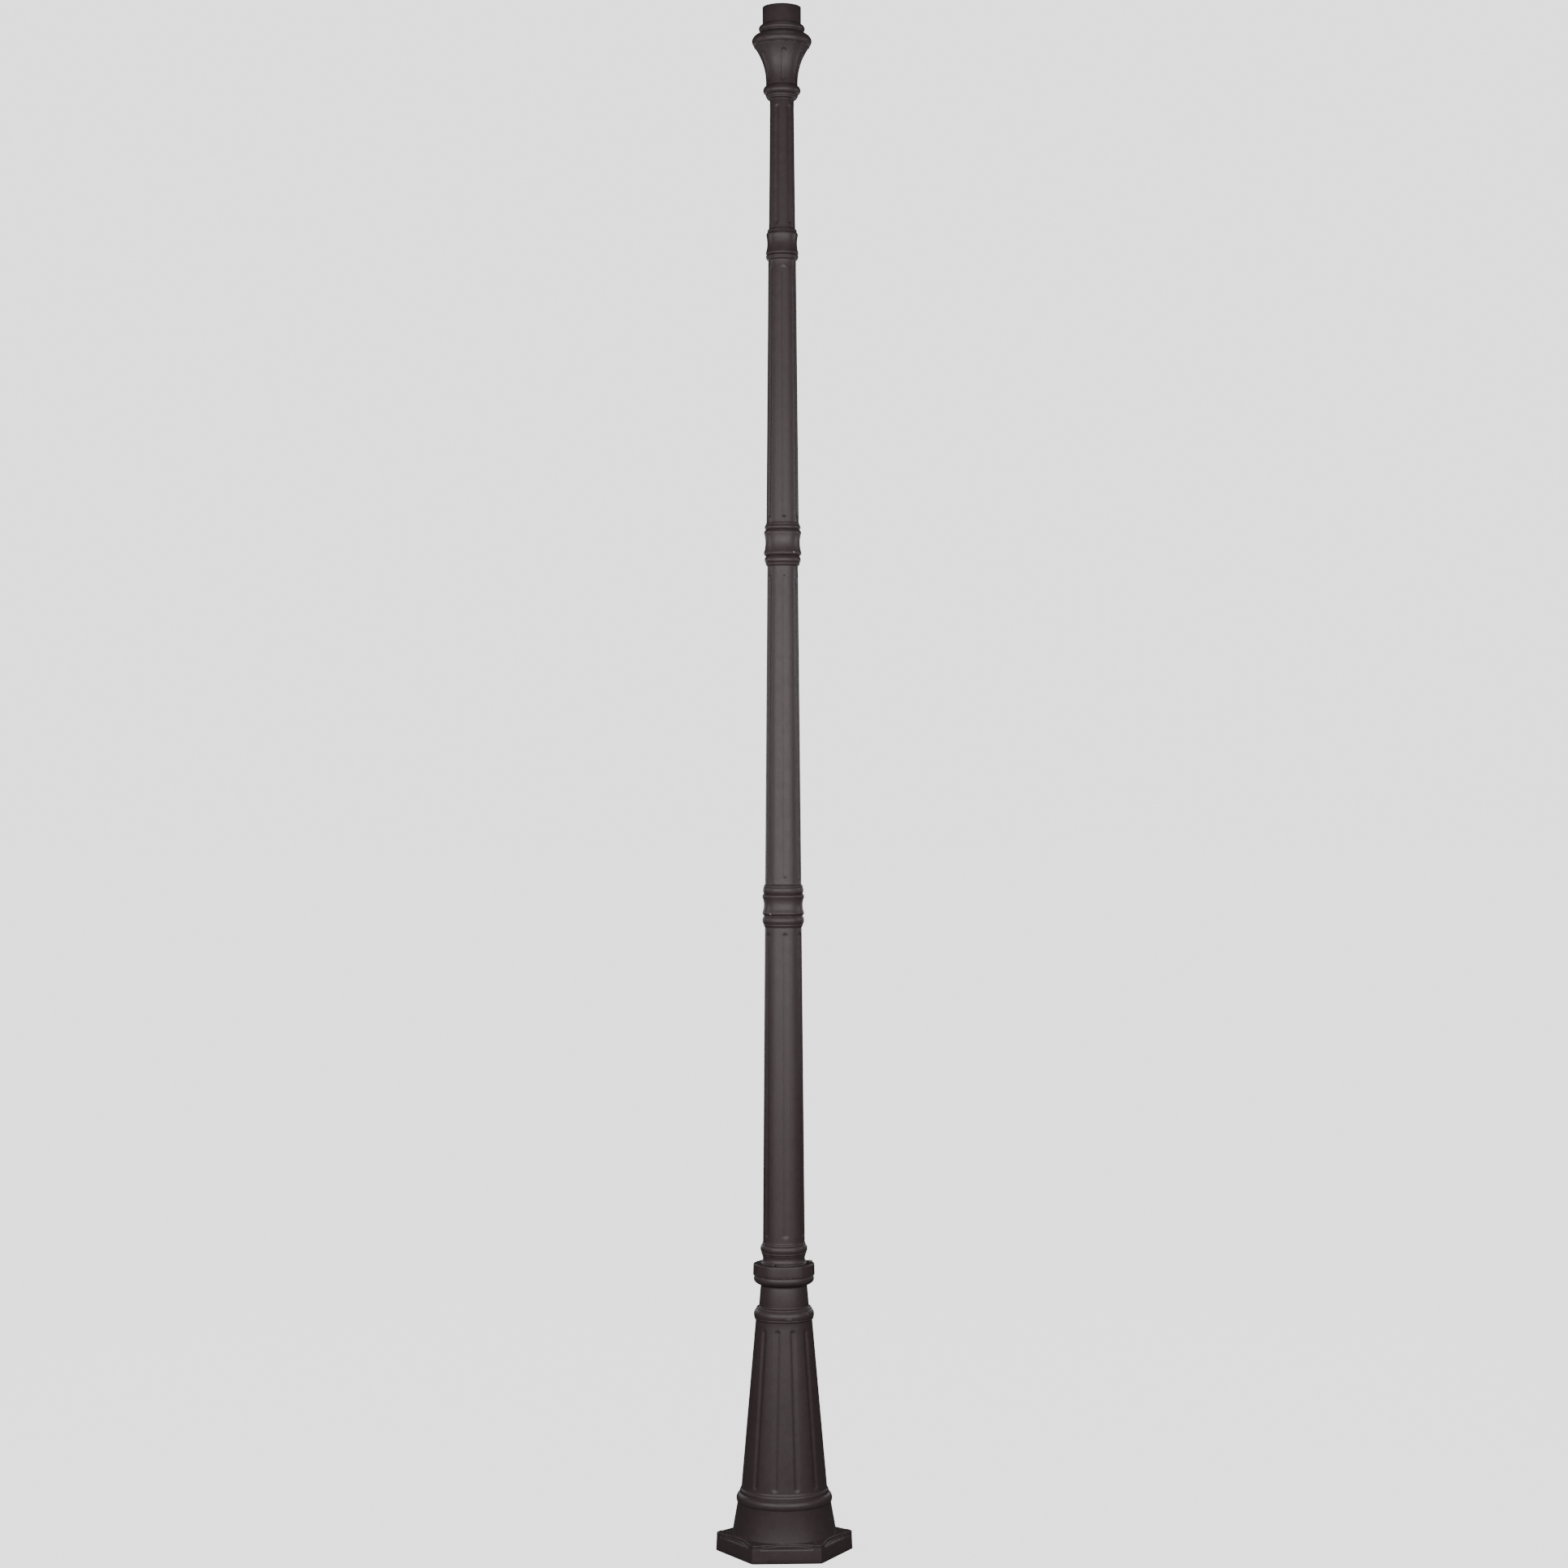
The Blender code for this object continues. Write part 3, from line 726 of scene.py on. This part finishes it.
def make_sections(finish):
    low, high = ends("shaft_section_1")
    outer = [
        (38.0, high),
        (38.7, high - 0.4),
        *arc((38.9, high - 1.4), (39.3, high - 16.6), 2.35, 10),
        (38.8, high - 17.2),
        *arc((38.9, high - 17.8), (37.7, high - 21.6), 0.4, 4),
        *arc((37.3, high - 22.2), (36.6, high - 24.6), -0.3, 4),
        *arc((41.5, low + 27.0), (41.9, low + 24.6), -0.15, 3),
        (41.8, low + 24.2),
        *arc((42.3, low + 23.8), (43.2, low + 21.0), 0.15, 3),
        (43.0, low + 20.6),
        *arc((43.6, low + 20.2), (45.3, low + 6.8), 2.0, 12),
        (44.3, low + 6.0),
        *arc((44.7, low + 5.6), (44.3, low + 2.4), 0.4, 4),
        (43.6, low + 1.7),
        (43.2, low + 1.5),
    ]
    flutes = Flutes(6, 0, 7.6, 617.8, 1221.5, 1.9)
    shaft_piece("shaft_section_1", outer, section_bore(low, high, 35.9, 31.7), finish, flutes)

    low, high = ends("shaft_section_2")
    outer = [
        (32.8, high),
        (33.5, high - 0.4),
        *arc((33.8, high - 1.2), (34.0, high - 13.2), 2.05, 10),
        (33.3, high - 13.8),
        *arc((33.5, high - 14.3), (32.9, high - 18.0), 0.5, 4),
        *arc((32.1, high - 18.6), (30.5, high - 21.4), -0.4, 4),
        *arc((36.0, low + 21.2), (36.9, low + 17.9), -0.25, 3),
        *arc((37.3, low + 17.5), (39.0, low + 13.6), 0.5, 4),
        (38.7, low + 13.0),
        *arc((39.2, low + 12.5), (39.1, low + 1.3), 1.1, 9),
        (38.4, low),
    ]
    flutes = Flutes(6, 0, 7.3, 1325.6, 1927.0, 1.85)
    shaft_piece("shaft_section_2", outer, section_bore(low, high, 31.7, 25.9), finish, flutes)

    low, high = ends("shaft_section_3")
    outer = [
        (31.0, high),
        (31.7, high - 0.4),
        *arc((31.9, high - 1.0), (31.8, high - 4.4), 0.45, 5),
        (31.2, high - 4.9),
        *arc((31.5, high - 5.3), (30.0, high - 8.4), 0.45, 5),
        *arc((29.3, high - 8.9), (27.5, high - 11.4), -0.4, 4),
        *arc((32.1, low + 14.6), (32.8, low + 12.9), -0.2, 3),
        *arc((33.1, low + 12.6), (33.6, low + 10.0), 0.35, 4),
        (33.4, low + 9.4),
        *arc((34.0, low + 9.0), (34.4, low + 1.0), 1.55, 9),
        (33.6, low),
    ]
    flutes = Flutes(6, 0, 6.8, 2036.5, 2536.0, 1.75)
    shaft_piece("shaft_section_3", outer, section_bore(low, high, 25.9, 21.3), finish, flutes)

    low, high = ends("shaft_section_4")
    outer = [
        (31.2, high),
        (31.9, high - 0.4),
        *arc((32.0, high - 1.0), (30.5, high - 4.4), 0.35, 4),
        (30.0, high - 4.7),
        *arc((30.2, high - 5.1), (25.3, high - 8.8), 1.1, 6),
        *arc((24.9, high - 9.1), (23.8, high - 11.4), -0.35, 4),
        *arc((26.2, low + 8.6), (27.0, low + 6.4), -0.2, 3),
        *arc((27.3, low + 6.2), (29.1, low + 3.2), 0.6, 5),
        (29.3, low + 1.0),
        (28.6, low),
    ]
    flutes = Flutes(6, 30, 6.3, 2615.5, 2854.0, 1.65)
    shaft_piece("shaft_section_4", outer, section_bore(low, high, 21.3, 18.8), finish, flutes)


def make_couplings(finishes):
    """Waisted sleeves: each swells to a crisp brink just inside its two seams."""
    # Each is its seams' radius, its upper and lower brink as (radius, distance in), and the waist.
    shapes = (
        (38.2, (41.75, 4.6), (41.4, 5.0), -2.95),
        (33.4, (36.95, 6.0), (37.5, 5.2), -2.95),
        (29.0, (31.3, 5.2), (32.4, 3.9), -2.15),
    )
    for i, (seam, (upper, upper_in), (lower, lower_in), waist) in enumerate(shapes):
        node = f"coupling_{i + 1}"
        low, high = ends(node)
        bore = BORES[i + 1]
        outer = [
            (seam, high),
            *arc((seam + 0.8, high - 0.3), (upper, high - upper_in), 0.7, 7),
            *arc(
                (upper - 0.1, high - upper_in - 1.0),
                (lower - 0.1, low + lower_in + 1.0),
                waist,
                18,
            ),
            *arc((lower, low + lower_in), (seam + 0.8, low + 0.3), 0.7, 7),
            (seam, low),
        ]
        inside = [(bore + 0.6, low), (bore, low + 0.6), (bore, high - 0.6), (bore + 0.6, high)]
        shaft_piece(node, outer, inside, finishes[i])


def make_capital(finish):
    low, high = ends("capital")
    lip, foot = high - 27.6, low + 23.0
    bell = []
    for t in reversed(ramp(0, 1, 26)):
        bell.append((31.4 + (53.3 - 31.4) * t**2.15, foot + (lip - foot) * t))
    outer = [
        (42.0, high),
        *arc((42.6, high - 0.3), (44.6, high - 1.2), -0.2, 3),
        *arc((45.0, high - 1.4), (59.0, high - 13.4), 2.5, 14),
        *arc((59.1, high - 13.9), (55.0, high - 24.6), 1.3, 10),
        (54.3, high - 24.9),
        *arc((54.9, high - 25.1), (54.1, high - 27.1), 0.7, 5),
        (53.5, high - 27.2),
        *bell,
        *arc((31.4, low + 20.6), (31.9, low + 17.4), -0.2, 3),
        *arc((32.2, low + 17.0), (33.6, low + 1.4), 4.05, 14),
        (32.6, low + 0.4),
        (31.8, low),
    ]
    bore = [
        (19.6, low),
        (18.8, low + 0.8),
        (18.8, 2893.0),
        (27.0, 2899.0),
        (29.5, 2926.0),
        (36.5, 2955.0),
        (48.0, 2972.0),
        (48.0, 2987.0),
        (36.0, 2987.0),
        (36.0, high - 0.8),
        (36.8, high),
    ]
    flutes = Flutes(6, 0, 6.3, 2897.5, 2958.5, 1.5, 0.45)
    shaft_piece("capital", outer, bore, finish, flutes)


def make_fitter(finish):
    low, high = ends("fitter_tenon")
    outer = [
        (37.2, high),
        (37.9, high - 0.3),
        (38.1, high - 1.0),
        (38.1, high - 12.0),
        (38.1, high - 24.0),
        *arc((38.1, high - 34.2), (39.0, high - 35.6), -0.3, 3),
        *arc((39.4, high - 36.0), (43.6, high - 47.8), 3.9, 14),
        *arc((43.1, high - 48.4), (42.4, high - 50.2), -0.25, 3),
        (42.4, high - 51.1),
        (42.0, low),
        (35.7, 2996.3),
        (35.7, low + 0.8),
        (34.9, low),
    ]
    bore = [
        (32.3, low),
        (31.5, low + 0.8),
        (31.5, 3008.0),
        (34.9, 3012.0),
        (34.9, high - 0.6),
        (35.5, high),
    ]
    shaft_piece("fitter_tenon", outer, bore, finish)


def make_nipples(finish):
    """The nipples are out of sight inside, so the CAD tubes stay and only take their material."""
    couplings = [f"coupling_nipple_{i}" for i in (1, 2, 3)]
    for node in ("foot_nipple", *couplings, "top_nipple"):
        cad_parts[node].data.materials.clear()
        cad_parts[node].data.materials.append(finish)


# The stage


def make_floor():
    """A floor that the camera sees as bright as the surround, so that no horizon shows."""
    n = Nodes("pale_floor")
    n.shader.inputs["Base Color"].default_value = (0.11, 0.11, 0.11, 1)
    n.shader.inputs["Roughness"].default_value = 0.9
    n.shader.inputs["Emission Color"].default_value = (1, 1, 1, 1)
    seen = n.add("ShaderNodeLightPath").outputs["Is Camera Ray"]
    n.feed(n.shader.inputs["Emission Strength"], n.math("MULTIPLY", seen, SURROUND))
    corners = [(-FLOOR_REACH, -FLOOR_REACH, 0), (FLOOR_REACH, -FLOOR_REACH, 0)]
    corners += [(FLOOR_REACH, FLOOR_REACH, 0), (-FLOOR_REACH, FLOOR_REACH, 0)]
    floor = mesh_object("floor", corners, [(0, 1, 2, 3)])
    floor.data.materials.append(n.material)


def make_world():
    """A bright surround for the camera, and a dim even light on the post."""
    world = bpy.data.worlds.new("studio")
    bpy.context.scene.world = world
    world.use_nodes = True
    tree = world.node_tree
    back = tree.nodes["Background"]
    back.inputs["Color"].default_value = (1.0, 1.0, 1.0, 1)
    back.inputs["Strength"].default_value = AMBIENT
    seen = tree.nodes.new("ShaderNodeBackground")
    seen.inputs["Color"].default_value = (1.0, 1.0, 1.0, 1)
    seen.inputs["Strength"].default_value = SURROUND
    path = tree.nodes.new("ShaderNodeLightPath")
    mix = tree.nodes.new("ShaderNodeMixShader")
    tree.links.new(path.outputs["Is Camera Ray"], mix.inputs[0])
    tree.links.new(back.outputs[0], mix.inputs[1])
    tree.links.new(seen.outputs[0], mix.inputs[2])
    tree.links.new(mix.outputs[0], tree.nodes["World Output"].inputs["Surface"])


def area_light(name, azimuth, distance, height, aim, size, power, spread=180):
    """A soft box that looks at a height on the post's axis and shines within spread degrees."""
    light = bpy.data.lights.new(name, "AREA")
    light.shape = "RECTANGLE"
    light.size, light.size_y = size
    light.energy = power
    light.color = LIGHT_COLOUR
    light.spread = math.radians(spread)
    lamp = bpy.data.objects.new(name, light)
    a = math.radians(azimuth)
    lamp.location = (distance * math.sin(a), -distance * math.cos(a), height)
    lamp.rotation_euler = (lamp.location - Vector((0, 0, aim))).to_track_quat("Z", "Y").to_euler()
    lamp.visible_camera = False
    bpy.context.scene.collection.objects.link(lamp)


def make_lights():
    """A wall of three soft boxes in front, with weak ones above, at the sides and behind."""
    wall = (("front", 0, 46), ("front_left", -41, 46), ("front_right", 39, 42))
    for name, azimuth, power in wall:
        area_light(name, CAMERA_AZIMUTH + azimuth, 3.0, 1.65, 1.55, (2.2, 1.7), power)
    area_light("overhead", 0, 0.6, 4.6, 1.5, (1.6, 1.6), 8)
    for name, azimuth in (("side_left", -98), ("side_right", 98)):
        area_light(name, azimuth, 3.2, 2.1, 1.95, (0.9, 1.7), 3.3, 75)
    for name, azimuth in (("back_left", -150), ("back_right", 150)):
        area_light(name, azimuth, 3.4, 1.5, 1.3, (1.6, 1.4), 10)


def make_camera():
    camera = bpy.data.objects.new("camera", bpy.data.cameras.new("camera"))
    bpy.context.scene.collection.objects.link(camera)
    a = math.radians(CAMERA_AZIMUTH)
    camera.location = (CAMERA_DISTANCE * math.sin(a), -CAMERA_DISTANCE * math.cos(a), CAMERA_HEIGHT)
    camera.rotation_euler = (math.pi / 2, math.radians(CAMERA_ROLL), a)
    camera.data.sensor_width = 36.0
    camera.data.lens = CAMERA_LENS
    camera.data.shift_x = CAMERA_SHIFT
    camera.data.clip_end = 100
    bpy.context.scene.camera = camera


def main():
    make_camera()
    coat = powder_coat("bronze_powder_coat")
    worn = powder_coat("worn_coat", chips=[(WORN_SPOT, 6.0, WORN, 1.9)])
    knocked = []
    for i, (angle, radius, height) in enumerate(KNOCKS, 1):
        big = ((angle, radius, height), 1.3, BARE)
        small = ((angle + 3, radius, height - 1.3), 1.1, BARE)
        knocked.append(powder_coat(f"knocked_coat_{i}", chips=[big, small]))
    make_pedestal(worn)
    make_collar(coat)
    make_screws(powder_coat("painted_screw", 0.75))
    make_flange(coat)
    make_sections(coat)
    make_couplings([*knocked, coat])
    make_capital(coat)
    make_fitter(coat)
    make_nipples(steel("zinc_plated_steel", (0.55, 0.55, 0.53, 1), 0.38))
    make_floor()
    make_world()
    make_lights()


main()
